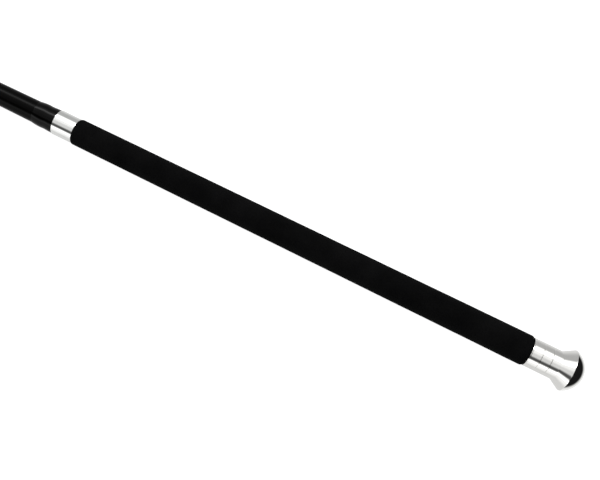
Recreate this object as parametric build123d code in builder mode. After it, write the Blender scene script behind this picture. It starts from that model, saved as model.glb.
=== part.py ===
from build123d import *
from dataclasses import dataclass
import math
import os

# A telescopic long cane with a foam-covered handle, a polished end knob and a rolling tip.
#
# Sizes are in millimetres. The cane lies along X, pulled out to its full length, with the
# knob at +X and the tip at -X. The origin is on the cane's axis, at the middle of the grip.
# "Front" means towards the tip (-X) and "back" means towards the knob (+X).

# ---------------------------------------------------------------- driving dimensions

# Handle tube, a composite tube that narrows over its last stretch in front of the collar.
HANDLE_OD = 16.0
HANDLE_ID = 14.2
HANDLE_MOUTH_OD = 15.04
HANDLE_MOUTH_ID = 13.5
BARE_TUBE = 55.0  # length of tube that shows between the boot and the mouth

# Foam grip, a sleeve that grows thicker towards the knob.
GRIP_LENGTH = 346.8
GRIP_FRONT_OD = 19.1
GRIP_BACK_OD = 21.6
GRIP_SHOULDER = 1.3  # rounding of both outer ends

# Polished collar in front of the grip, and the black boot in front of the collar.
COLLAR_OD = 18.25
COLLAR_LENGTH = 15.7
COLLAR_EDGE = 0.25
BOOT_LENGTH = 16.5
BOOT_RAMP = 8.0
BOOT_OD = 17.5
BOOT_RAMP_OD = 17.2
BOOT_RAMP_BULGE = 0.56  # share of the ramp's rise that is reached halfway along it
BOOT_LIP = 0.12  # wall of the boot at its thin front end

# End knob, turned from one bar: a grooved neck, a flare and a domed head.
NECK_OD = 20.4
NECK_LENGTH = 20.7
NECK_BANDS = 3
GROOVE_WIDTH = 0.55
GROOVE_DEPTH = 0.28
FLARE_LENGTH = 8.0
HEAD_OD = 29.7
HEAD_EDGE = 0.7
DOME_HEIGHT = 10.7
SOCKET_DEPTH = 14.0  # how far the handle tube goes into the knob

# Fastening of the knob inside the handle tube.
STUD_OD = 8.0
STUD_IN_KNOB = 12.0
STUD_IN_INSERT = 16.0
STUD_HOLE_SPARE = 1.0  # depth of the knob's hole beyond the stud's end
STUD_CHAMFER = 0.5
INSERT_LENGTH = 18.0
GLUE_GROOVES = (0.3, 0.5, 0.7)  # places along the insert, as shares of its length
GLUE_GROOVE_WIDTH = 1.2
GLUE_GROOVE_DEPTH = 0.25
SEAL_SECTION = 1.6
SEAL_INSET = 0.4  # between the stud and the seal

# Rubber buffer that stops the pushed-in sections.
BUFFER_LENGTH = 12.0
BUFFER_CHAMFER = 0.8
BUFFER_GAP = 1.0

# Telescoping parts: every section ends in a mouth that narrows, and the next section
# carries a cone at its butt that wedges in that mouth when the cane is pulled out.
TAPER_LENGTH = 40.0
CONE_LENGTH = 28.0
CONE_PLAY = 0.1  # on the diameter, in the straight bore
WEDGE_GAP = 0.04  # on the diameter, at full length
BUTT_TAIL = 2.0  # tube behind the cone
MOUTH_RING_LENGTH = 9.0
MOUTH_RING_LIP = 1.5
MOUTH_RING_WALL = 0.9
MOUTH_RING_BORE_PLAY = 0.1
MOUTH_RING_EDGE = 0.5
RING_SEAT_OD = 14.9  # seat of the mouth ring on the handle tube
CLOSED_GAP = 0.5  # left between two mouth rings when the cane is pushed together

# Rolling tip. The bearings are 5 x 13 x 4 ball bearings.
ADAPTER_OD = 11.0
ADAPTER_SLEEVE = 20.0
ADAPTER_FLOOR = 5.0
ADAPTER_BACK_CHAMFER = 0.8
ADAPTER_FRONT_ROUND = 0.6
SPINDLE_OD = 5.0
SPINDLE_IN_TUBE = 10.0
SPINDLE_HEAD_OD = 8.0
SPINDLE_HEAD = 3.0
SPINDLE_EDGE = 0.4
HEX_KEY = 3.0
HEX_DEPTH = 1.8
THRUST_SPACER = 3.0
SPACER_LENGTH = 10.0
SPACER_WALL = 1.0
ROLLER_OD = 29.5
ROLLER_LENGTH = 34.0
ROLLER_GAP = 1.0  # between the adapter and the roller
ROLLER_BACK_ROUND = 4.0
ROLLER_NOSE_ROUND = 6.5
ROLLER_BACK_HOLE = 10.6
CAP_WALL = 2.0
CAP_DOME = 1.2
BEARING_OD = 13.0
BEARING_WIDTH = 4.0
BALL_OD = 2.0
BALL_COUNT = 8
BALL_CIRCLE = 9.1
RACE_PLAY = 0.03  # between a ball and its groove
INNER_RING_OD = 7.5
OUTER_RING_ID = 10.7
CAGE_WIDTH = 2.6
CAGE_WALL = 1.0
CAGE_PLAY = 0.05  # between a ball and the wall of its pocket
SHIELD_THICKNESS = 0.3
SHIELD_ID = 7.9


@dataclass
class Section:
    """One telescoping tube with its sleeve, and where it lies when the cane is pulled out."""

    number: int
    tube_od: float
    tube_id: float
    mouth_id: float
    sleeve_od: float
    length: float
    butt: float = 0.0
    mouth: float = 0.0


HANDLE = Section(1, HANDLE_OD, HANDLE_ID, HANDLE_MOUTH_ID, HANDLE_OD, 0.0)
SECTIONS = [
    Section(2, 12.8, 11.2, 10.7, 13.2, 345.0),
    Section(3, 10.0, 8.5, 8.1, 10.4, 335.0),
    Section(4, 7.4, 5.4, 5.4, 7.8, 325.0),
]

# ---------------------------------------------------------------- places along X

GRIP_BACK = GRIP_LENGTH / 2
GRIP_FRONT = -GRIP_LENGTH / 2
COLLAR_FRONT = GRIP_FRONT - COLLAR_LENGTH
BOOT_FRONT = COLLAR_FRONT - BOOT_LENGTH
HANDLE.butt = GRIP_BACK + SOCKET_DEPTH
HANDLE.mouth = BOOT_FRONT - BARE_TUBE
FLARE_START = GRIP_BACK + NECK_LENGTH
HEAD_START = FLARE_START + FLARE_LENGTH
DOME_TOP = HEAD_START + DOME_HEIGHT


def slope(host):
    """How fast a mouth narrows, on the diameter."""
    return (host.tube_id - host.mouth_id) / TAPER_LENGTH


def cone_sizes(host):
    """(front diameter, back diameter, front place) of the cone that wedges in host's mouth."""
    back_od = host.tube_id - CONE_PLAY
    front_od = back_od - slope(host) * CONE_LENGTH
    setback = (front_od + WEDGE_GAP - host.mouth_id) / slope(host)
    return front_od, back_od, host.mouth + setback


def ring_front(section):
    return section.mouth - MOUTH_RING_LIP


def ring_back(section):
    return section.mouth - MOUTH_RING_LIP + MOUTH_RING_LENGTH


host = HANDLE
for section in SECTIONS:
    section.butt = cone_sizes(host)[2] + CONE_LENGTH + BUTT_TAIL
    section.mouth = section.butt - section.length
    host = section

TIP_SECTION = SECTIONS[-1]
ADAPTER_BACK = TIP_SECTION.mouth + ADAPTER_SLEEVE
ADAPTER_FRONT = TIP_SECTION.mouth - ADAPTER_FLOOR
BEARING_BACKS = [
    ADAPTER_FRONT - THRUST_SPACER,
    ADAPTER_FRONT - THRUST_SPACER - BEARING_WIDTH - SPACER_LENGTH,
]
SPACER_BACK = BEARING_BACKS[0] - BEARING_WIDTH
SPINDLE_HEAD_BACK = BEARING_BACKS[1] - BEARING_WIDTH
ROLLER_BACK = ADAPTER_FRONT - ROLLER_GAP
ROLLER_NOSE = ROLLER_BACK - ROLLER_LENGTH
CAP_BACK = SPINDLE_HEAD_BACK
BALL_RADIUS = BALL_OD / 2
BALL_CIRCLE_RADIUS = BALL_CIRCLE / 2

# ---------------------------------------------------------------- helpers

os.makedirs("parts", exist_ok=True)


def save(builder, name):
    """Labels a finished piece with its node name and writes it."""
    builder.part.label = name
    export_step(builder.part, f"parts/{name}.step")


def turn(*outline):
    """Revolves a closed outline of (place along X, radius) points inside the open part."""
    with BuildSketch(Plane.XY) as profile:
        with BuildLine():
            Polyline(*outline, close=True)
        make_face()
    revolve(profile.sketch, axis=Axis.X)


def turn_tube(back, front, outer_d, inner_d):
    """A plain tube between two places along X."""
    turn(
        (back, inner_d / 2),
        (back, outer_d / 2),
        (front, outer_d / 2),
        (front, inner_d / 2),
    )


def cut_cylinder(back, front, diameter):
    """Cuts a round hole between two places along X out of the open part."""
    with BuildSketch(Plane.YZ.offset(front)) as hole:
        Circle(diameter / 2)
    extrude(hole.sketch, amount=back - front, mode=Mode.SUBTRACT)


def rims(builder, place, radius):
    """The circular edges of a part at one place along X and one radius."""
    return [
        edge
        for edge in builder.edges().filter_by(GeomType.CIRCLE)
        if abs(edge.arc_center.X - place) < 1e-3 and abs(edge.radius - radius) < 1e-3
    ]


# ---------------------------------------------------------------- handle

with BuildPart() as handle_tube:
    seat_back = ring_back(HANDLE)
    turn(
        (HANDLE.butt, HANDLE_ID / 2),
        (HANDLE.butt, HANDLE_OD / 2),
        (BOOT_FRONT, HANDLE_OD / 2),
        (seat_back, HANDLE_MOUTH_OD / 2),
        (seat_back, RING_SEAT_OD / 2),
        (HANDLE.mouth, RING_SEAT_OD / 2),
        (HANDLE.mouth, HANDLE_MOUTH_ID / 2),
        (HANDLE.mouth + TAPER_LENGTH, HANDLE_ID / 2),
    )
save(handle_tube, "handle_tube")

with BuildPart() as foam_grip:
    turn(
        (GRIP_BACK, HANDLE_OD / 2),
        (GRIP_BACK, GRIP_BACK_OD / 2),
        (GRIP_FRONT, GRIP_FRONT_OD / 2),
        (GRIP_FRONT, HANDLE_OD / 2),
    )
    fillet(
        rims(foam_grip, GRIP_BACK, GRIP_BACK_OD / 2)
        + rims(foam_grip, GRIP_FRONT, GRIP_FRONT_OD / 2),
        GRIP_SHOULDER,
    )
save(foam_grip, "foam_grip")

with BuildPart() as front_collar:
    turn_tube(GRIP_FRONT, COLLAR_FRONT, COLLAR_OD, HANDLE_OD)
    chamfer(rims(front_collar, COLLAR_FRONT, COLLAR_OD / 2), COLLAR_EDGE)
save(front_collar, "front_collar")

with BuildPart() as collar_boot:
    lip_radius = HANDLE_OD / 2 + BOOT_LIP
    ramp_middle = lip_radius + BOOT_RAMP_BULGE * (BOOT_RAMP_OD / 2 - lip_radius)
    with BuildSketch(Plane.XY):
        with BuildLine():
            ThreePointArc(
                (BOOT_FRONT, lip_radius),
                (BOOT_FRONT + BOOT_RAMP / 2, ramp_middle),
                (BOOT_FRONT + BOOT_RAMP, BOOT_RAMP_OD / 2),
            )
            Polyline(
                (BOOT_FRONT + BOOT_RAMP, BOOT_RAMP_OD / 2),
                (COLLAR_FRONT, BOOT_OD / 2),
                (COLLAR_FRONT, HANDLE_OD / 2),
                (BOOT_FRONT, HANDLE_OD / 2),
                (BOOT_FRONT, lip_radius),
            )
        make_face()
    revolve(axis=Axis.X)
save(collar_boot, "collar_boot")

# The knob's outline: neck with a V-groove at the start of each band, flare, domed head.
band = NECK_LENGTH / NECK_BANDS
neck_outline = []
for i in range(NECK_BANDS):
    groove = GRIP_BACK + i * band + GROOVE_WIDTH
    neck_outline += [
        (groove - GROOVE_WIDTH / 2, NECK_OD / 2),
        (groove, NECK_OD / 2 - GROOVE_DEPTH),
        (groove + GROOVE_WIDTH / 2, NECK_OD / 2),
    ]
stud_hole_end = HANDLE.butt + STUD_IN_KNOB + STUD_HOLE_SPARE
seal_inner = STUD_OD / 2 + SEAL_INSET

with BuildPart() as end_knob:
    with BuildSketch(Plane.XY):
        with BuildLine():
            Polyline(
                (DOME_TOP, 0),
                (stud_hole_end, 0),
                (stud_hole_end, STUD_OD / 2),
                (HANDLE.butt, STUD_OD / 2),
                (HANDLE.butt, HANDLE_OD / 2),
                (GRIP_BACK, HANDLE_OD / 2),
                (GRIP_BACK, NECK_OD / 2),
                *neck_outline,
                (FLARE_START, NECK_OD / 2),
                (HEAD_START, HEAD_OD / 2),
            )
            dome_radius = ((HEAD_OD / 2) ** 2 + DOME_HEIGHT**2) / (2 * DOME_HEIGHT)
            RadiusArc((HEAD_START, HEAD_OD / 2), (DOME_TOP, 0), dome_radius)
        make_face()
    revolve(axis=Axis.X)
    fillet(rims(end_knob, HEAD_START, HEAD_OD / 2), HEAD_EDGE)
    # Seat of the rubber seal, around the stud, in the floor of the socket.
    with BuildSketch(Plane.YZ.offset(HANDLE.butt)):
        Circle(seal_inner + SEAL_SECTION)
        Circle(seal_inner, mode=Mode.SUBTRACT)
    extrude(amount=SEAL_SECTION, mode=Mode.SUBTRACT)
save(end_knob, "end_knob")

with BuildPart() as knob_stud:
    with BuildSketch(Plane.YZ.offset(HANDLE.butt - STUD_IN_INSERT)):
        Circle(STUD_OD / 2)
    extrude(amount=STUD_IN_INSERT + STUD_IN_KNOB)
    chamfer(knob_stud.edges().filter_by(GeomType.CIRCLE), STUD_CHAMFER)
save(knob_stud, "knob_stud")

with BuildPart() as tube_insert:
    turn_tube(HANDLE.butt, HANDLE.butt - INSERT_LENGTH, HANDLE_ID, STUD_OD)
    with BuildSketch(Plane.XY):
        for share in GLUE_GROOVES:
            with Locations((HANDLE.butt - INSERT_LENGTH * share, HANDLE_ID / 2)):
                Rectangle(GLUE_GROOVE_WIDTH, 2 * GLUE_GROOVE_DEPTH)
    revolve(axis=Axis.X, mode=Mode.SUBTRACT)
save(tube_insert, "tube_insert")

with BuildPart() as knob_seal:
    with BuildSketch(Plane.XY):
        with Locations((HANDLE.butt + SEAL_SECTION / 2, seal_inner + SEAL_SECTION / 2)):
            Circle(SEAL_SECTION / 2)
    revolve(axis=Axis.X)
save(knob_seal, "knob_seal")

# ---------------------------------------------------------------- telescoping sections


def make_mouth_ring(section, seat_od):
    """The ring around a section's mouth, with a lip in front of the tube's end."""
    bore = section.mouth_id + MOUTH_RING_BORE_PLAY
    outer = seat_od + 2 * MOUTH_RING_WALL
    with BuildPart() as mouth_ring:
        turn(
            (ring_back(section), seat_od / 2),
            (ring_back(section), outer / 2),
            (ring_front(section), outer / 2),
            (ring_front(section), bore / 2),
            (section.mouth, bore / 2),
            (section.mouth, seat_od / 2),
        )
        fillet(rims(mouth_ring, ring_front(section), outer / 2), MOUTH_RING_EDGE)
        chamfer(rims(mouth_ring, ring_back(section), outer / 2), MOUTH_RING_EDGE / 2)
    save(mouth_ring, f"mouth_ring_{section.number}")


def make_section_tube(section):
    """A section's tube. Its bore narrows towards the mouth, except in the tip section."""
    with BuildPart() as section_tube:
        turn(
            (section.butt, section.tube_id / 2),
            (section.butt, section.tube_od / 2),
            (section.mouth, section.tube_od / 2),
            (section.mouth, section.mouth_id / 2),
            (section.mouth + TAPER_LENGTH, section.tube_id / 2),
        )
    save(section_tube, f"section_tube_{section.number}")


def make_lock_cone(section, host):
    """The cone bonded round a section's butt, which wedges in its host's mouth."""
    front_od, back_od, front = cone_sizes(host)
    back = front + CONE_LENGTH
    with BuildPart() as lock_cone:
        turn(
            (back, section.tube_od / 2),
            (back, back_od / 2),
            (front, front_od / 2),
            (front, section.tube_od / 2),
        )
    save(lock_cone, f"lock_cone_{section.number}")


def make_sleeve(section, host, front):
    """The reflective sleeve on a section, from its cone forwards."""
    with BuildPart() as reflective_sleeve:
        turn_tube(cone_sizes(host)[2], front, section.sleeve_od, section.tube_od)
    save(reflective_sleeve, f"reflective_sleeve_{section.number}")


make_mouth_ring(HANDLE, RING_SEAT_OD)
host = HANDLE
for section in SECTIONS:
    make_section_tube(section)
    make_lock_cone(section, host)
    if section is TIP_SECTION:
        make_sleeve(section, host, ADAPTER_BACK)
    else:
        make_sleeve(section, host, ring_back(section))
        make_mouth_ring(section, section.tube_od)
    host = section

# How far each section slides into its host before their mouth rings meet.
host = HANDLE
for section in SECTIONS:
    stop = ADAPTER_BACK if section is TIP_SECTION else ring_back(section)
    section_travel = ring_front(host) - CLOSED_GAP - stop
    print(f"travel of section {section.number}: {section_travel:.1f} mm")
    if section is SECTIONS[0]:
        closed_butt = section.butt + section_travel
    host = section

# The buffer is pressed into the handle tube just behind the pushed-in section.
with BuildPart() as buffer_plug:
    with BuildSketch(Plane.YZ.offset(closed_butt + BUFFER_GAP)):
        Circle(HANDLE_ID / 2)
    extrude(amount=BUFFER_LENGTH)
    chamfer(buffer_plug.edges().filter_by(GeomType.CIRCLE), BUFFER_CHAMFER)
save(buffer_plug, "buffer_plug")

# ---------------------------------------------------------------- rolling tip

with BuildPart() as tip_adapter:
    turn_tube(ADAPTER_BACK, ADAPTER_FRONT, ADAPTER_OD, SPINDLE_OD)
    cut_cylinder(ADAPTER_BACK, TIP_SECTION.mouth, TIP_SECTION.tube_od)
    chamfer(rims(tip_adapter, ADAPTER_BACK, ADAPTER_OD / 2), ADAPTER_BACK_CHAMFER)
    fillet(rims(tip_adapter, ADAPTER_FRONT, ADAPTER_OD / 2), ADAPTER_FRONT_ROUND)
save(tip_adapter, "tip_adapter")

with BuildPart() as tip_spindle:
    shank_end = TIP_SECTION.mouth + SPINDLE_IN_TUBE
    head_front = SPINDLE_HEAD_BACK - SPINDLE_HEAD
    turn(
        (shank_end, 0),
        (shank_end, SPINDLE_OD / 2),
        (SPINDLE_HEAD_BACK, SPINDLE_OD / 2),
        (SPINDLE_HEAD_BACK, SPINDLE_HEAD_OD / 2),
        (head_front, SPINDLE_HEAD_OD / 2),
        (head_front, 0),
    )
    chamfer(rims(tip_spindle, shank_end, SPINDLE_OD / 2), SPINDLE_EDGE)
    fillet(rims(tip_spindle, head_front, SPINDLE_HEAD_OD / 2), SPINDLE_EDGE)
    with BuildSketch(Plane.YZ.offset(head_front)):
        RegularPolygon(HEX_KEY / 2, 6, major_radius=False)
    extrude(amount=HEX_DEPTH, mode=Mode.SUBTRACT)
save(tip_spindle, "tip_spindle")

with BuildPart() as thrust_spacer:
    turn_tube(ADAPTER_FRONT, BEARING_BACKS[0], INNER_RING_OD, SPINDLE_OD)
save(thrust_spacer, "thrust_spacer")

with BuildPart() as inner_spacer:
    turn_tube(
        SPACER_BACK, BEARING_BACKS[1], SPINDLE_OD + 2 * SPACER_WALL, SPINDLE_OD
    )
save(inner_spacer, "inner_spacer")

with BuildPart() as outer_spacer:
    turn_tube(
        SPACER_BACK, BEARING_BACKS[1], BEARING_OD, BEARING_OD - 2 * SPACER_WALL
    )
save(outer_spacer, "outer_spacer")

bearing_centres = [back - BEARING_WIDTH / 2 for back in BEARING_BACKS]


def race_grooves():
    """Cuts the ball groove of each bearing out of the open part."""
    with BuildSketch(Plane.XY) as grooves:
        with Locations(*[(centre, BALL_CIRCLE_RADIUS) for centre in bearing_centres]):
            Circle(BALL_RADIUS + RACE_PLAY)
    revolve(grooves.sketch, axis=Axis.X, mode=Mode.SUBTRACT)


with BuildPart() as bearing_inner_rings:
    for back in BEARING_BACKS:
        turn_tube(back, back - BEARING_WIDTH, INNER_RING_OD, SPINDLE_OD)
    race_grooves()
save(bearing_inner_rings, "bearing_inner_rings")

with BuildPart() as bearing_outer_rings:
    for back in BEARING_BACKS:
        turn_tube(back, back - BEARING_WIDTH, BEARING_OD, OUTER_RING_ID)
    race_grooves()
save(bearing_outer_rings, "bearing_outer_rings")

with BuildPart() as bearing_balls:
    for centre in bearing_centres:
        with Locations(Plane.YZ.offset(centre)):
            with PolarLocations(BALL_CIRCLE_RADIUS, BALL_COUNT):
                Sphere(BALL_RADIUS)
save(bearing_balls, "bearing_balls")

with BuildPart() as bearing_cages:
    for centre in bearing_centres:
        turn_tube(
            centre + CAGE_WIDTH / 2,
            centre - CAGE_WIDTH / 2,
            BALL_CIRCLE + CAGE_WALL,
            BALL_CIRCLE - CAGE_WALL,
        )
    # Each pocket is a round hole that points straight out from the axis.
    for centre in bearing_centres:
        with Locations(Plane.YZ.offset(centre)):
            with PolarLocations(BALL_CIRCLE_RADIUS, BALL_COUNT):
                Cylinder(
                    BALL_RADIUS + CAGE_PLAY,
                    3 * CAGE_WALL,
                    rotation=(0, 90, 0),
                    mode=Mode.SUBTRACT,
                )
save(bearing_cages, "bearing_cages")

with BuildPart() as bearing_shields:
    for back in BEARING_BACKS:
        for shield_back in (back, back - BEARING_WIDTH + SHIELD_THICKNESS):
            turn_tube(
                shield_back, shield_back - SHIELD_THICKNESS, OUTER_RING_ID, SHIELD_ID
            )
save(bearing_shields, "bearing_shields")

with BuildPart() as roller_shell:
    turn_tube(ROLLER_BACK, ROLLER_NOSE, ROLLER_OD, ROLLER_BACK_HOLE)
    cut_cylinder(BEARING_BACKS[0], ROLLER_NOSE, BEARING_OD)
    fillet(rims(roller_shell, ROLLER_BACK, ROLLER_OD / 2), ROLLER_BACK_ROUND)
    fillet(rims(roller_shell, ROLLER_NOSE, ROLLER_OD / 2), ROLLER_NOSE_ROUND)
save(roller_shell, "roller_shell")

with BuildPart() as nose_cap:
    with BuildSketch(Plane.XY):
        with BuildLine():
            cap_bore = BEARING_OD / 2 - CAP_WALL
            Polyline(
                (ROLLER_NOSE - CAP_DOME, 0),
                (ROLLER_NOSE + CAP_WALL, 0),
                (ROLLER_NOSE + CAP_WALL, cap_bore),
                (CAP_BACK, cap_bore),
                (CAP_BACK, BEARING_OD / 2),
                (ROLLER_NOSE, BEARING_OD / 2),
            )
            cap_radius = ((BEARING_OD / 2) ** 2 + CAP_DOME**2) / (2 * CAP_DOME)
            RadiusArc(
                (ROLLER_NOSE, BEARING_OD / 2), (ROLLER_NOSE - CAP_DOME, 0), -cap_radius
            )
        make_face()
    revolve(axis=Axis.X)
save(nose_cap, "nose_cap")

cage_ratio = (1 + BALL_OD / BALL_CIRCLE) / 2
print(f"turns of the ball cages per turn of the roller: {cage_ratio:.4f}")
print(f"roller and cage centre: x = {ADAPTER_FRONT:.1f}")
print(f"overall length: {DOME_TOP - (ROLLER_NOSE - CAP_DOME):.1f} mm")
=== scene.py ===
import math

import bmesh
import bpy
from mathutils import Matrix, Vector, noise


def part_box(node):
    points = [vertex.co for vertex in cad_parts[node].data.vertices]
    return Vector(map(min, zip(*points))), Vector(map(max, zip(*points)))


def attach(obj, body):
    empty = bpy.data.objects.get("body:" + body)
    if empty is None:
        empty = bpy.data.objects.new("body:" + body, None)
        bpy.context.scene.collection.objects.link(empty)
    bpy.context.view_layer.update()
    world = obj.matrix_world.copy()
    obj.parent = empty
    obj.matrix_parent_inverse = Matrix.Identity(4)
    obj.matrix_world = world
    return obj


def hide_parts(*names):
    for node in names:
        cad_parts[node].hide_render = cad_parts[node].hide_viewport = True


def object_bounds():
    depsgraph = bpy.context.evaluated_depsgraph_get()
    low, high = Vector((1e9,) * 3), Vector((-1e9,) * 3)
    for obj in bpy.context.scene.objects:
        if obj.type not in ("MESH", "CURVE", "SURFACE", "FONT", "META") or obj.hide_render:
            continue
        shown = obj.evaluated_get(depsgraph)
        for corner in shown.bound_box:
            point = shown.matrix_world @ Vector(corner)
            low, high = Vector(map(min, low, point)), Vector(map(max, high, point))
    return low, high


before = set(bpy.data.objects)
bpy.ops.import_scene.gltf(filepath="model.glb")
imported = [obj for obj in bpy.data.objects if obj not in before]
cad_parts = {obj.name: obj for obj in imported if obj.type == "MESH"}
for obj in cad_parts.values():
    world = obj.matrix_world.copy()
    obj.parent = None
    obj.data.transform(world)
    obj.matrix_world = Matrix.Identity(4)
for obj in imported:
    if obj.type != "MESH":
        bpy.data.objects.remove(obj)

cad_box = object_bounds()
MM = 0.001

# ------------------------------------------------------------------ node graph helpers


class Graph:
    """Builds a node tree with short calls. Every method returns an output socket."""

    def __init__(self, tree):
        self.tree = tree
        self.tree.nodes.clear()

    def node(self, kind, **settings):
        made = self.tree.nodes.new(kind)
        for key, value in settings.items():
            setattr(made, key, value)
        return made

    def feed(self, socket, value):
        """Links an output socket to an input, or sets the input to a plain value."""
        if isinstance(value, bpy.types.NodeSocket):
            self.tree.links.new(value, socket)
        elif value is not None:
            socket.default_value = value

    def math(self, operation, *values, clamp=False):
        made = self.node("ShaderNodeMath", operation=operation, use_clamp=clamp)
        for socket, value in zip(made.inputs, values):
            self.feed(socket, value)
        return made.outputs[0]

    def split(self, vector):
        made = self.node("ShaderNodeSeparateXYZ")
        self.feed(made.inputs[0], vector)
        return made.outputs

    def join(self, x, y, z):
        made = self.node("ShaderNodeCombineXYZ")
        for socket, value in zip(made.inputs, (x, y, z)):
            self.feed(socket, value)
        return made.outputs[0]

    def between(self, value, low, high, to_low=0.0, to_high=1.0, smooth=True):
        """Maps value from low..high to to_low..to_high and holds it there outside."""
        made = self.node(
            "ShaderNodeMapRange",
            interpolation_type="SMOOTHSTEP" if smooth else "LINEAR",
        )
        for socket, given in zip(made.inputs, (value, low, high, to_low, to_high)):
            self.feed(socket, given)
        return made.outputs[0]

    def mix(self, factor, first, second, blend="MIX"):
        made = self.node("ShaderNodeMix", data_type="RGBA", blend_type=blend)
        self.feed(made.inputs["Factor"], factor)
        self.feed(made.inputs[6], rgba(first))
        self.feed(made.inputs[7], rgba(second))
        return made.outputs[2]

    def noise(self, vector, scale, detail=2.0, roughness=0.5):
        made = self.node("ShaderNodeTexNoise")
        self.feed(made.inputs["Vector"], vector)
        made.inputs["Scale"].default_value = scale
        made.inputs["Detail"].default_value = detail
        made.inputs["Roughness"].default_value = roughness
        return made.outputs["Fac"]

    def cells(self, vector, scale, feature="F1", randomness=1.0):
        made = self.node("ShaderNodeTexVoronoi", feature=feature)
        self.feed(made.inputs["Vector"], vector)
        made.inputs["Scale"].default_value = scale
        made.inputs["Randomness"].default_value = randomness
        return made.outputs["Distance"]

    def bump(self, height, strength, distance, normal=None):
        made = self.node("ShaderNodeBump")
        made.inputs["Strength"].default_value = strength
        made.inputs["Distance"].default_value = distance
        self.feed(made.inputs["Height"], height)
        self.feed(made.inputs["Normal"], normal)
        return made.outputs[0]


def rgba(colour):
    """A grey value or an RGB triple as RGBA. A socket passes through."""
    if isinstance(colour, (int, float)):
        return (colour, colour, colour, 1.0)
    if isinstance(colour, tuple) and len(colour) == 3:
        return (*colour, 1.0)
    return colour


class Material(Graph):
    """A material with one Principled shader and coordinates in the shared frame."""

    def __init__(self, name):
        self.material = bpy.data.materials.new(name)
        self.material.use_nodes = True
        super().__init__(self.material.node_tree)
        self.shader = self.node("ShaderNodeBsdfPrincipled")
        output = self.node("ShaderNodeOutputMaterial")
        self.feed(output.inputs["Surface"], self.shader.outputs[0])
        self.place = self.node("ShaderNodeTexCoord").outputs["Object"]
        self.x, self.y, self.z = self.split(self.place)

    def set(self, **values):
        """Sets shader sockets, named with underscores for spaces."""
        for key, value in values.items():
            socket = self.shader.inputs[key.replace("_", " ")]
            self.feed(socket, rgba(value) if "Color" in key else value)

    def around(self, radius):
        """Distance round the cane's axis on a cylinder of this radius, in metres."""
        return self.math("MULTIPLY", self.math("ARCTAN2", self.y, self.z), radius)

    def across(self, stretch):
        """Coordinates that run slower round the cane, for rings about its axis."""
        y = self.math("MULTIPLY", self.y, stretch)
        z = self.math("MULTIPLY", self.z, stretch)
        return self.join(self.x, y, z)

    def along(self, stretch):
        """Coordinates that run slower along the cane, for grain that follows it."""
        return self.join(self.math("MULTIPLY", self.x, stretch), self.y, self.z)


# ------------------------------------------------------------------ materials


def polished_metal(name, tint, roughness):
    """Bright polished aluminium with fine buffing marks that run round it."""
    m = Material(name)
    marks = m.noise(m.join(m.x, 0.0, 0.0), 9000.0, 3.0, 0.6)
    cloud = m.noise(m.place, 160.0, 3.0)
    scratch = m.cells(m.along(0.15), 700.0, "DISTANCE_TO_EDGE")
    fine = m.between(scratch, 0.0, 0.02, 1.0, 0.0)
    gloss = m.math("MULTIPLY_ADD", cloud, roughness * 0.9, roughness * 0.55)
    gloss = m.math("MULTIPLY_ADD", fine, 0.03, gloss)
    m.set(
        Base_Color=m.mix(m.between(cloud, 0.35, 0.7), tint, tuple(0.96 * c for c in tint)),
        Metallic=1.0,
        Roughness=gloss,
        Normal=m.bump(marks, 0.015, 0.00002),
    )
    return m.material


def foam(name):
    """Closed-cell black foam: a matt skin with fine open pores where it was ground."""
    m = Material(name)
    pores = m.cells(m.place, 2600.0)
    grain = m.noise(m.place, 1500.0, 4.0, 0.65)
    patches = m.noise(m.place, 60.0, 3.0)
    deep, raised = (0.0008, 0.0008, 0.0009), (0.0110, 0.0110, 0.0112)
    pit = m.between(pores, 0.15, 0.5)
    height = m.math("MULTIPLY_ADD", grain, 0.6, pit)
    m.set(
        Base_Color=m.mix(m.math("MULTIPLY", grain, patches), deep, raised),
        Roughness=m.between(grain, 0.3, 0.7, 0.82, 1.0),
        Specular_IOR_Level=0.03,
        Normal=m.bump(height, 0.55, 0.00012),
    )
    return m.material


def composite(name):
    """Black wound composite with a satin lacquer: fibres run almost along the tube."""
    m = Material(name)
    fibre = m.noise(m.along(0.03), 5200.0, 3.0, 0.55)
    streak = m.noise(m.along(0.02), 900.0, 2.0)
    cloud = m.noise(m.place, 90.0, 2.0)
    resin, fibres = (0.0003, 0.0003, 0.0003), (0.0012, 0.0010, 0.0009)
    m.set(
        Base_Color=m.mix(m.between(streak, 0.3, 0.75), resin, fibres),
        Roughness=m.math("MULTIPLY_ADD", m.math("MULTIPLY", fibre, cloud), 0.16, 0.16),
        Specular_IOR_Level=0.055,
        Normal=m.bump(fibre, 0.06, 0.00003),
    )
    return m.material


def shrink_sleeve(name):
    """Glossy black sleeve, shrunk on: nearly smooth, with soft waves and dust."""
    m = Material(name)
    waves = m.noise(m.along(0.6), 260.0, 2.0)
    dust = m.between(m.noise(m.place, 5200.0, 1.0), 0.68, 0.78)
    m.set(
        Base_Color=m.mix(dust, (0.0003, 0.0002, 0.0002), (0.003, 0.003, 0.003)),
        Roughness=m.math("MULTIPLY_ADD", dust, 0.25, m.math("MULTIPLY_ADD", waves, 0.04, 0.08)),
        Specular_IOR_Level=0.11,
        Normal=m.bump(waves, 0.05, 0.0002),
    )
    return m.material


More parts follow.
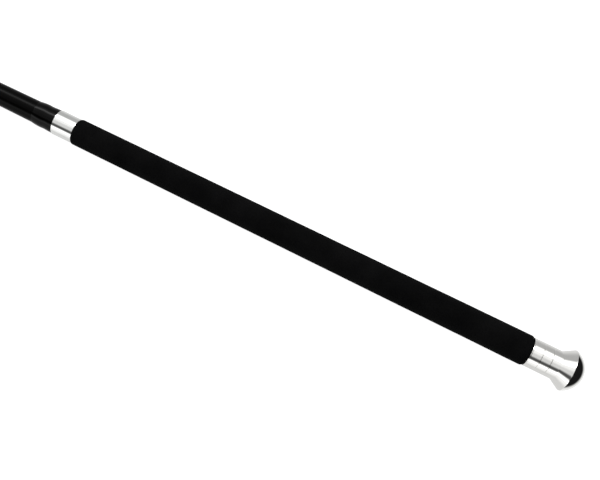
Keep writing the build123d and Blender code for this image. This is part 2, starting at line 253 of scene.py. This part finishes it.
def reflective(name, colour, radius, groove):
    """Retroreflective film: a lattice of tiny cells under a clear face."""
    m = Material(name)
    cell = 2 * math.pi * radius / round(2 * math.pi * radius / (2.4 * MM))
    u = m.math("DIVIDE", m.around(radius), cell)
    v = m.math("DIVIDE", m.x, 3.2 * MM)
    lines = None
    for v_part in (v, m.math("MULTIPLY", v, -1.0)):
        phase = m.math("FRACT", m.math("ADD", u, v_part))
        edge = m.math("ABSOLUTE", m.math("SUBTRACT", phase, 0.5))
        line = m.between(edge, 0.43, 0.49)
        lines = line if lines is None else m.math("MAXIMUM", lines, line)
    beads = m.cells(m.place, 5200.0)
    sparkle = m.between(beads, 0.1, 0.45)
    grime = m.between(m.noise(m.place, 45.0, 4.0), 0.45, 0.8, 0.0, 0.35)
    shade = m.mix(lines, colour, groove)
    shade = m.mix(m.math("MULTIPLY", sparkle, 0.18), shade, groove)
    shade = m.mix(grime, shade, tuple(0.82 * c for c in colour))
    m.set(
        Base_Color=shade,
        Roughness=m.math("MULTIPLY_ADD", sparkle, 0.2, m.between(grime, 0.0, 0.35, 0.26, 0.4)),
        Specular_IOR_Level=0.55,
        Coat_Weight=0.35,
        Coat_Roughness=0.12,
        Normal=m.bump(m.math("MULTIPLY", lines, -1.0), 0.3, 0.00005),
    )
    return m.material


def turned_metal(name, colour, roughness, metallic=1.0, rings=4200.0):
    """Metal straight from the lathe: fine rings round the axis."""
    m = Material(name)
    turning = m.noise(m.across(0.02), rings, 2.0, 0.6)
    cloud = m.noise(m.place, 220.0, 3.0)
    m.set(
        Base_Color=m.mix(m.between(cloud, 0.3, 0.75), colour, tuple(0.86 * c for c in colour)),
        Metallic=metallic,
        Roughness=m.math("MULTIPLY_ADD", turning, 0.2, roughness),
        Normal=m.bump(turning, 0.2, 0.00003),
    )
    return m.material


def nylon(name, nose_x):
    """White nylon, moulded and then worn: scuffed and greyer towards the nose."""
    m = Material(name)
    wear = m.between(m.x, nose_x + 24 * MM, nose_x + 2 * MM, 0.25, 1.0)
    rings = m.noise(m.across(0.12), 1500.0, 5.0, 0.75)
    scuff = m.between(rings, 0.53, 0.66)
    specks = m.between(m.noise(m.place, 650.0, 5.0, 0.75), 0.57, 0.70)
    cloud = m.noise(m.place, 80.0, 3.0)
    smear = m.between(m.noise(m.place, 190.0, 4.0, 0.6), 0.46, 0.68)
    worn = m.math("MULTIPLY", wear, m.math("MAXIMUM", scuff, specks))
    clean = m.mix(m.between(cloud, 0.3, 0.7), (0.80, 0.79, 0.75), (0.75, 0.74, 0.70))
    dirt = m.math("MULTIPLY", m.math("MULTIPLY", smear, wear), 0.45)
    dusty = m.mix(dirt, clean, (0.50, 0.48, 0.44))
    m.set(
        Base_Color=m.mix(m.math("MULTIPLY", worn, 0.6), dusty, (0.24, 0.225, 0.21)),
        Roughness=m.math("MULTIPLY_ADD", worn, 0.25, m.math("MULTIPLY_ADD", cloud, 0.12, 0.34)),
        Subsurface_Weight=0.1,
        Subsurface_Radius=(0.002, 0.0018, 0.0015),
        Normal=m.bump(m.math("SUBTRACT", cloud, m.math("MULTIPLY", worn, 0.7)), 0.5, 0.0001),
    )
    return m.material


def rubber(name):
    """Black moulded rubber with a faint bloom."""
    m = Material(name)
    grain = m.noise(m.place, 2400.0, 3.0, 0.6)
    bloom = m.noise(m.place, 130.0, 3.0)
    m.set(
        Base_Color=m.mix(m.between(bloom, 0.35, 0.75), 0.012, 0.03),
        Roughness=m.math("MULTIPLY_ADD", grain, 0.25, 0.6),
        Specular_IOR_Level=0.35,
        Normal=m.bump(grain, 0.3, 0.00006),
    )
    return m.material


# ------------------------------------------------------------------ geometry helpers


def rounded(corners, steps=8):
    """Turns (x, r, fillet) corners of a closed outline into points with arcs on them."""
    points = []
    for i, (x, r, fillet) in enumerate(corners):
        here = Vector((x, r))
        if not fillet:
            points.append(here)
            continue
        before = Vector(corners[i - 1][:2]) - here
        after = Vector(corners[(i + 1) % len(corners)][:2]) - here
        half = before.angle(after) / 2
        reach = fillet / math.tan(half)
        start = here + before.normalized() * reach
        end = here + after.normalized() * reach
        centre = here + (before.normalized() + after.normalized()).normalized() * (
            fillet / math.sin(half)
        )
        first, last = start - centre, end - centre
        for k in range(steps + 1):
            turn = first.angle_signed(last) * k / steps
            points.append(centre + Matrix.Rotation(-turn, 2) @ first)
    return points


def held(outline, margin=0.08, long_run=1.0):
    """Adds points close to both ends of long straight runs, so that they shade flat."""
    points = []
    for here, after in zip(outline, outline[1:] + outline[:1]):
        here, after = Vector(here), Vector(after)
        points.append(here)
        length = (after - here).length
        if length > long_run:
            step = (after - here) * (margin / length)
            points += [here + step, after - step]
    return points


def lathe(name, outline, material, segments=160, sharp=32.0, shape=None):
    """Revolves a closed outline of (x, r) points in mm round the cane's axis.

    shape(x, r, angle) may give another radius in mm for a point on the outline."""
    bm = bmesh.new()
    rings = []
    for x, r in held(outline):
        if r < 1e-6:
            rings.append([bm.verts.new((x * MM, 0.0, 0.0))])
            continue
        ring = []
        for k in range(segments):
            angle = 2 * math.pi * k / segments
            radius = r if shape is None else shape(x, r, angle)
            spot = (x * MM, radius * MM * math.sin(angle), radius * MM * math.cos(angle))
            ring.append(bm.verts.new(spot))
        rings.append(ring)
    for first, second in zip(rings, rings[1:] + rings[:1]):
        if len(first) == 1 and len(second) == 1:
            continue
        for k in range(segments):
            corners = [
                first[k % len(first)],
                first[(k + 1) % len(first)],
                second[(k + 1) % len(second)],
                second[k % len(second)],
            ]
            bm.faces.new(list(dict.fromkeys(corners)))
    bmesh.ops.recalc_face_normals(bm, faces=bm.faces)
    mesh = bpy.data.meshes.new(name)
    bm.to_mesh(mesh)
    bm.free()
    mesh.shade_smooth()
    mesh.set_sharp_from_angle(angle=math.radians(sharp))
    mesh.materials.append(material)
    piece = bpy.data.objects.new(name, mesh)
    bpy.context.scene.collection.objects.link(piece)
    return piece


def stand_for(piece, node, body):
    """The piece replaces a CAD node and moves with its body."""
    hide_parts(node)
    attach(piece, body)


def span(node):
    """Where a node starts and ends along the cane, in mm: (front, back)."""
    low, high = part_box(node)
    return low.x / MM, high.x / MM


def widest(node):
    """The largest radius of a node, in mm."""
    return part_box(node)[1].z / MM


def paint(material, *nodes):
    """Gives CAD nodes a new material."""
    for node in nodes:
        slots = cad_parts[node].material_slots
        for slot in slots:
            slot.material = material


def stations(start, end, step):
    """Evenly spaced places from start to end, about step apart, ends left out."""
    count = max(2, round(abs(end - start) / step))
    return [start + (end - start) * k / count for k in range(1, count)]


# ------------------------------------------------------------------ handle

knob_metal = polished_metal("knob_metal", (0.93, 0.925, 0.90), 0.05)
collar_metal = polished_metal("collar_metal", (0.93, 0.935, 0.92), 0.06)
black_composite = composite("black_composite")
boot_gloss = shrink_sleeve("boot_gloss")
grip_black = foam("grip_foam")
anodised = turned_metal("black_anodised", (0.02, 0.02, 0.022), 0.22, 0.7)
turned = turned_metal("turned_aluminium", (0.70, 0.71, 0.72), 0.22)
steel = turned_metal("bearing_steel", (0.56, 0.56, 0.57), 0.16)
black_rubber = rubber("black_rubber")

TUBE_R = 8.0
BORE_R = 7.1
TAPER_BORE_R = 6.75
TAPER_R = 7.52
TAPER_LENGTH = 40.0
RING_SEAT_R = 7.45
EDGE = 0.12

# Handle tube: the same profile as the CAD node, with many more sides.
tube_front, tube_back = span("handle_tube")
boot_front, boot_back = span("collar_boot")
ring_back = span("mouth_ring_1")[1]
tube = lathe(
    "handle_tube_lacquered",
    rounded(
        [
            (tube_back, BORE_R, 0),
            (tube_back, TUBE_R, 0),
            (boot_front, TUBE_R, 0),
            (ring_back, TAPER_R, 0),
            (ring_back, RING_SEAT_R, 0),
            (tube_front, RING_SEAT_R, EDGE),
            (tube_front, TAPER_BORE_R, EDGE),
            (tube_front + TAPER_LENGTH, BORE_R, 0),
        ]
    ),
    black_composite,
)
stand_for(tube, "handle_tube", "handle")

# Boot: shrunk over the tube, with a ramp, a shallow dip and a square back edge.
BOOT_LIP = 0.13
BOOT_RAMP = 6.0
BOOT_RISE = 0.52
BOOT_SLOPE = 0.0145  # rise per length behind the ramp
DIP_START = 5.5
DIP_LENGTH = 8.0
DIP_DEPTH = 0.18


def boot_radius(x):
    """Outer radius of the boot at a place along the cane: a ramp, then a shallow dip."""
    rise = min(1.0, (x - boot_front) / BOOT_RAMP)
    ramp = math.sin(rise * math.pi / 2) ** 0.9
    slope = max(0.0, x - boot_front - BOOT_RAMP) * BOOT_SLOPE
    into_dip = min(1.0, max(0.0, (x - boot_front - DIP_START) / DIP_LENGTH))
    dip = DIP_DEPTH * (0.5 - 0.5 * math.cos(2 * math.pi * into_dip))
    return TUBE_R + BOOT_LIP + BOOT_RISE * ramp + slope - dip


def boot_waves(x, r, angle):
    """Slight unevenness of the shrunk sleeve, none at its bore."""
    if r < TUBE_R + 0.05:
        return r
    swell = noise.noise(Vector((x * 0.12, math.sin(angle) * 1.3, math.cos(angle) * 1.3)))
    return r + 0.035 * swell


boot_outside = [(x, boot_radius(x)) for x in stations(boot_front, boot_back, 0.35)]
boot = lathe(
    "boot_shrink_sleeve",
    [(boot_front, TUBE_R), (boot_front + 0.03, boot_radius(boot_front) - 0.02)]
    + boot_outside
    + [(boot_back, boot_radius(boot_back)), (boot_back, TUBE_R)],
    boot_gloss,
    segments=144,
    shape=boot_waves,
)
stand_for(boot, "collar_boot", "handle")

# Collar: polished band with eased edges.
collar_front, collar_back = span("front_collar")
collar_r = widest("front_collar")
collar = lathe(
    "collar_polished",
    rounded(
        [
            (collar_front, TUBE_R, 0),
            (collar_front, collar_r, 0.3),
            (collar_back, collar_r, 0.15),
            (collar_back, TUBE_R, 0),
        ]
    ),
    collar_metal,
    segments=256,
)
stand_for(collar, "front_collar", "handle")

# Grip: a ground foam sleeve, thicker towards the knob, with rolled ends.
grip_front, grip_back = span("foam_grip")
GRIP_FRONT_R = 9.55
GRIP_BACK_R = 10.8
GRIP_FRONT_ROUND = 1.1
GRIP_BACK_ROUND = 2.2
GRIP_STEP = 0.75


def grip_radius(x):
    """Outer radius of the foam, without its rolled ends."""
    share = (x - grip_front) / (grip_back - grip_front)
    return GRIP_FRONT_R + (GRIP_BACK_R - GRIP_FRONT_R) * share


def grip_skin(x, r, angle):
    """Ground foam: fine grain, and a slow unevenness from the grinding wheel."""
    if r < TUBE_R + 0.05:
        return r
    spot = Vector((x, r * math.sin(angle), r * math.cos(angle)))
    fine = noise.noise(spot * 0.9)
    slow = noise.noise(spot * 0.045)
    return r + 0.035 * fine + 0.05 * slow


def end_roll(x_end, direction, size):
    """Points of a rolled end of the grip, from the bore outwards."""
    outer = grip_radius(x_end)
    points = [(x_end, TUBE_R), (x_end, (TUBE_R + outer - size) / 2)]
    for k in range(11):
        turn = math.pi / 2 * k / 10
        inwards = size * (1 - math.cos(turn))
        points.append((x_end + direction * inwards, outer - size * (1 - math.sin(turn))))
    return points


front_roll = end_roll(grip_front, 1, GRIP_FRONT_ROUND)
back_roll = end_roll(grip_back, -1, GRIP_BACK_ROUND)
grip_outside = [
    (x, grip_radius(x))
    for x in stations(grip_front + GRIP_FRONT_ROUND, grip_back - GRIP_BACK_ROUND, GRIP_STEP)
]
grip = lathe(
    "foam_grip_ground",
    front_roll + grip_outside + back_roll[::-1],
    grip_black,
    segments=112,
    sharp=60.0,
    shape=grip_skin,
)
stand_for(grip, "foam_grip", "handle")

# Knob: turned from bar, with fine grooves round its neck, and polished.
knob_front, knob_back = span("end_knob")
NECK_R = 10.2
NECK_LENGTH = 20.7
NECK_BANDS = 3
GROOVE_WIDTH = 0.55
GROOVE_DEPTH = 0.28
FLARE_LENGTH = 8.0
HEAD_R = 14.85
SOCKET_DEPTH = 14.0
STUD_R = 4.0
STUD_HOLE = 13.0

neck_points = [(knob_front, TUBE_R, 0), (knob_front, NECK_R, 0.12)]
for band in range(NECK_BANDS):
    groove = knob_front + band * NECK_LENGTH / NECK_BANDS + GROOVE_WIDTH
    neck_points += [
        (groove - GROOVE_WIDTH / 2, NECK_R, 0.08),
        (groove, NECK_R - GROOVE_DEPTH, 0.06),
        (groove + GROOVE_WIDTH / 2, NECK_R, 0.08),
    ]
flare_start = knob_front + NECK_LENGTH
head_start = flare_start + FLARE_LENGTH
dome_height = knob_back - head_start
dome_r = (HEAD_R**2 + dome_height**2) / (2 * dome_height)
dome_angle = math.asin(HEAD_R / dome_r)
if dome_height > dome_r:
    dome_angle = math.pi - dome_angle
DOME_STEPS = 48
dome_points = []
for k in range(DOME_STEPS, -1, -1):
    turn = dome_angle * k / DOME_STEPS
    dome_points.append(
        (knob_back - dome_r * (1 - math.cos(turn)), dome_r * math.sin(turn), 0)
    )
dome_points[0] = (dome_points[0][0], dome_points[0][1], 0.8)
dome_points[1:3] = []
knob = lathe(
    "knob_polished",
    rounded(
        neck_points
        + [(flare_start, NECK_R, 0.5)]
        + dome_points
        + [
            (knob_front + SOCKET_DEPTH + STUD_HOLE, 0.0, 0),
            (knob_front + SOCKET_DEPTH + STUD_HOLE, STUD_R, 0),
            (knob_front + SOCKET_DEPTH, STUD_R, 0),
            (knob_front + SOCKET_DEPTH, TUBE_R, 0),
        ],
        steps=5,
    ),
    knob_metal,
    segments=256,
    sharp=40.0,
)
stand_for(knob, "end_knob", "handle")

# ------------------------------------------------------------------ telescoping sections


def mouth_ring(number, body, seat_r, bore_r, tube_end):
    """A ring with a rounded front lip and two fine grip grooves."""
    node = f"mouth_ring_{number}"
    front, back = span(node)
    outer = widest(node)
    corners = [
        (back, seat_r, 0),
        (back, outer, 0.25),
    ]
    for groove in (back - 2.6, back - 4.6):
        corners += [
            (groove + 0.35, outer, 0.06),
            (groove + 0.2, outer - 0.22, 0.05),
            (groove - 0.2, outer - 0.22, 0.05),
            (groove - 0.35, outer, 0.06),
        ]
    corners += [
        (front, outer, 0.5),
        (front, bore_r, 0.15),
        (tube_end, bore_r, 0),
        (tube_end, seat_r, 0),
    ]
    ring = lathe(f"mouth_ring_{number}_anodised", rounded(corners, steps=5), anodised)
    stand_for(ring, node, body)


def tape_sleeve(number, body, inner_r, material, seam_angle):
    """Reflective film wrapped once round the tube, with a lap seam along it."""
    node = f"reflective_sleeve_{number}"
    front, back = span(node)
    outer = widest(node)
    lap = 2.6 / outer

    def lapped(x, r, angle):
        if r < inner_r + 0.03:
            return r
        from_seam = (angle - seam_angle) % (2 * math.pi)
        return r + 0.045 if from_seam < lap else r - 0.02

    sleeve = lathe(
        f"reflective_sleeve_{number}_film",
        rounded(
            [
                (front, inner_r, 0),
                (front, outer, 0.08),
                (back, outer, 0.08),
                (back, inner_r, 0),
            ],
            steps=3,
        ),
        material,
        segments=240,
        sharp=50.0,
        shape=lapped,
    )
    stand_for(sleeve, node, body)


# Outer radii of the sliding tubes, which seat the films and the rings on them.
SECTION_2_R = 6.4
SECTION_3_R = 5.0
SECTION_4_R = 3.7
FILM = 0.2  # from a tube's surface to the middle of its pattern
WHITE, WHITE_CELL = (0.80, 0.80, 0.78), (0.60, 0.61, 0.61)
RED, RED_CELL = (0.52, 0.012, 0.014), (0.30, 0.004, 0.006)

white_film_2 = reflective("white_film_2", WHITE, (SECTION_2_R + FILM) * MM, WHITE_CELL)
white_film_3 = reflective("white_film_3", WHITE, (SECTION_3_R + FILM) * MM, WHITE_CELL)
red_film = reflective("red_film", RED, (SECTION_4_R + FILM) * MM, RED_CELL)
mouth_ring(1, "handle", RING_SEAT_R, 6.8, tube_front)
mouth_ring(2, "section_2", SECTION_2_R, 5.4, span("section_tube_2")[0])
mouth_ring(3, "section_3", SECTION_3_R, 4.1, span("section_tube_3")[0])
tape_sleeve(2, "section_2", SECTION_2_R, white_film_2, 2.4)
tape_sleeve(3, "section_3", SECTION_3_R, white_film_3, 2.8)
tape_sleeve(4, "section_4", SECTION_4_R, red_film, 3.3)

# ------------------------------------------------------------------ rolling tip

roller_front, roller_back = span("roller_shell")
roller_r = widest("roller_shell")
bearing_back = span("bearing_outer_rings")[1]
white_nylon = nylon("white_nylon", roller_front)
parting = roller_back - 12.0  # where the two halves of the mould met
shell = lathe(
    "roller_shell_moulded",
    rounded(
        [
            (roller_front, 6.5, 0.3),
            (roller_front, roller_r, 6.5),
            (parting - 0.35, roller_r, 0.15),
            (parting, roller_r - 0.2, 0.1),
            (parting + 0.35, roller_r, 0.15),
            (roller_back, roller_r, 4.0),
            (roller_back, 8.6, 0.2),
            (roller_back - 0.35, 8.3, 0.15),
            (roller_back - 0.35, 6.4, 0.15),
            (roller_back, 6.1, 0.2),
            (roller_back, 5.3, 0.4),
            (bearing_back, 5.3, 0),
            (bearing_back, 6.5, 0),
        ],
        steps=16,
    ),
    white_nylon,
    segments=192,
)
stand_for(shell, "roller_shell", "roller")
paint(white_nylon, "nose_cap")

paint(black_composite, "section_tube_2", "section_tube_3", "section_tube_4")
paint(
    turned,
    "lock_cone_2", "lock_cone_3", "lock_cone_4", "tip_adapter",
    "thrust_spacer", "inner_spacer", "outer_spacer", "tube_insert",
)
paint(
    steel,
    "knob_stud", "tip_spindle", "bearing_inner_rings", "bearing_outer_rings",
    "bearing_balls", "bearing_cages", "bearing_shields",
)
paint(black_rubber, "knob_seal", "buffer_plug")

# ------------------------------------------------------------------ floor, light, camera

FLOOR_SIZE = 30.0
FLOOR_GLOW = 1.38
FLOOR_MATT_SHARE = 0.30
floor_z = cad_box[0][2]
bpy.ops.mesh.primitive_plane_add(size=FLOOR_SIZE, location=(0.0, 0.0, floor_z))
floor = bpy.context.object
floor.name = "floor"
# The floor is hidden from reflections: metal mirrors the world below the horizon instead.
floor.visible_glossy = False
floor_material = bpy.data.materials.new("white_floor")
floor_material.use_nodes = True
paper = Graph(floor_material.node_tree)
glow = paper.node("ShaderNodeEmission")
glow.inputs["Color"].default_value = rgba(1.0)
glow.inputs["Strength"].default_value = FLOOR_GLOW
matt = paper.node("ShaderNodeBsdfDiffuse")
matt.inputs["Color"].default_value = rgba(0.9)
blend = paper.node("ShaderNodeMixShader")
blend.inputs[0].default_value = FLOOR_MATT_SHARE
paper.feed(blend.inputs[1], glow.outputs[0])
paper.feed(blend.inputs[2], matt.outputs[0])
paper.feed(paper.node("ShaderNodeOutputMaterial").inputs[0], blend.outputs[0])
floor.data.materials.append(floor_material)

# One plain studio surrounds the whole cane, and every part of it mirrors the same things. It
# starts with the wall behind the table and then says where the next surface begins, how
# soft that edge is, and its brightness. Places are degrees round the cane's axis from
# straight up towards -Y. The camera sees a near-white backdrop in place of all this.
STUDIO = (
    0.75,
    (-115, 25, 0.45),  # grey wall
    (-60, 8, 1.3),  # key softbox
    (-44, 5, 6.0),  # the lamp in it
    (-28, 8, 1.0),
    (0, 10, 0.70),  # ceiling
    (30, 8, 0.08),  # doorway
    (55, 6, 1.1),  # window
    (63, 4, 2.0),  # the sky in it
    (75, 6, 1.0),
    (100, 12, 0.70),  # pale wall
)
# Each end of the room: a pale floor with a dark wall above it, by height from -1 to 1.
ROOM_END = (0.90, (-0.45, 0.20, 0.01))


def surfaces(graph, place, studio):
    """The colour of a studio at a place, from its list of edges."""
    colour, *edges = studio
    for start, softness, after in edges:
        step = graph.between(place, start - softness, start + softness)
        colour = graph.mix(step, colour, after)
    return colour


world = bpy.data.worlds.new("studio")
bpy.context.scene.world = world
world.use_nodes = True
sky = Graph(world.node_tree)
direction = sky.node("ShaderNodeTexCoord").outputs["Generated"]
dx, dy, dz = sky.split(direction)
turn = sky.math("ARCTAN2", sky.math("MULTIPLY", dy, -1.0), dz)
turn = sky.math("DEGREES", turn)
end = surfaces(sky, dz, ROOM_END)
studio = surfaces(sky, turn, STUDIO)
studio = sky.mix(sky.between(dx, 0.32, 0.42), studio, end)
studio = sky.mix(sky.between(dx, -0.72, -0.80), studio, end)
surroundings = sky.node("ShaderNodeBackground")
sky.feed(surroundings.inputs[0], studio)
backdrop = sky.node("ShaderNodeBackground")
backdrop.inputs[0].default_value = rgba(0.99)
choice = sky.node("ShaderNodeMixShader")
sky.feed(choice.inputs[0], sky.node("ShaderNodeLightPath").outputs["Is Camera Ray"])
sky.feed(choice.inputs[1], surroundings.outputs[0])
sky.feed(choice.inputs[2], backdrop.outputs[0])
sky.feed(sky.node("ShaderNodeOutputWorld").inputs[0], choice.outputs[0])

# Camera: close above the handle, turned so that the cane runs down to the right.
AZIMUTH = math.radians(26.24)
ELEVATION = math.radians(80.9)
DISTANCE = 0.530
AIM = Vector((0.0019, 0.0001, 0.0))
LENS = 46.08
back = Vector(
    (
        math.sin(AZIMUTH) * math.cos(ELEVATION),
        -math.cos(AZIMUTH) * math.cos(ELEVATION),
        math.sin(ELEVATION),
    )
)
camera_data = bpy.data.cameras.new("camera")
camera_data.lens = LENS
camera_data.sensor_width = 36.0
camera_data.clip_start = 0.01
camera = bpy.data.objects.new("camera", camera_data)
bpy.context.scene.collection.objects.link(camera)
camera.location = AIM + DISTANCE * back
camera.rotation_euler = back.to_track_quat("Z", "Y").to_euler()
bpy.context.scene.camera = camera
bpy.context.scene.view_settings.view_transform = "Standard"
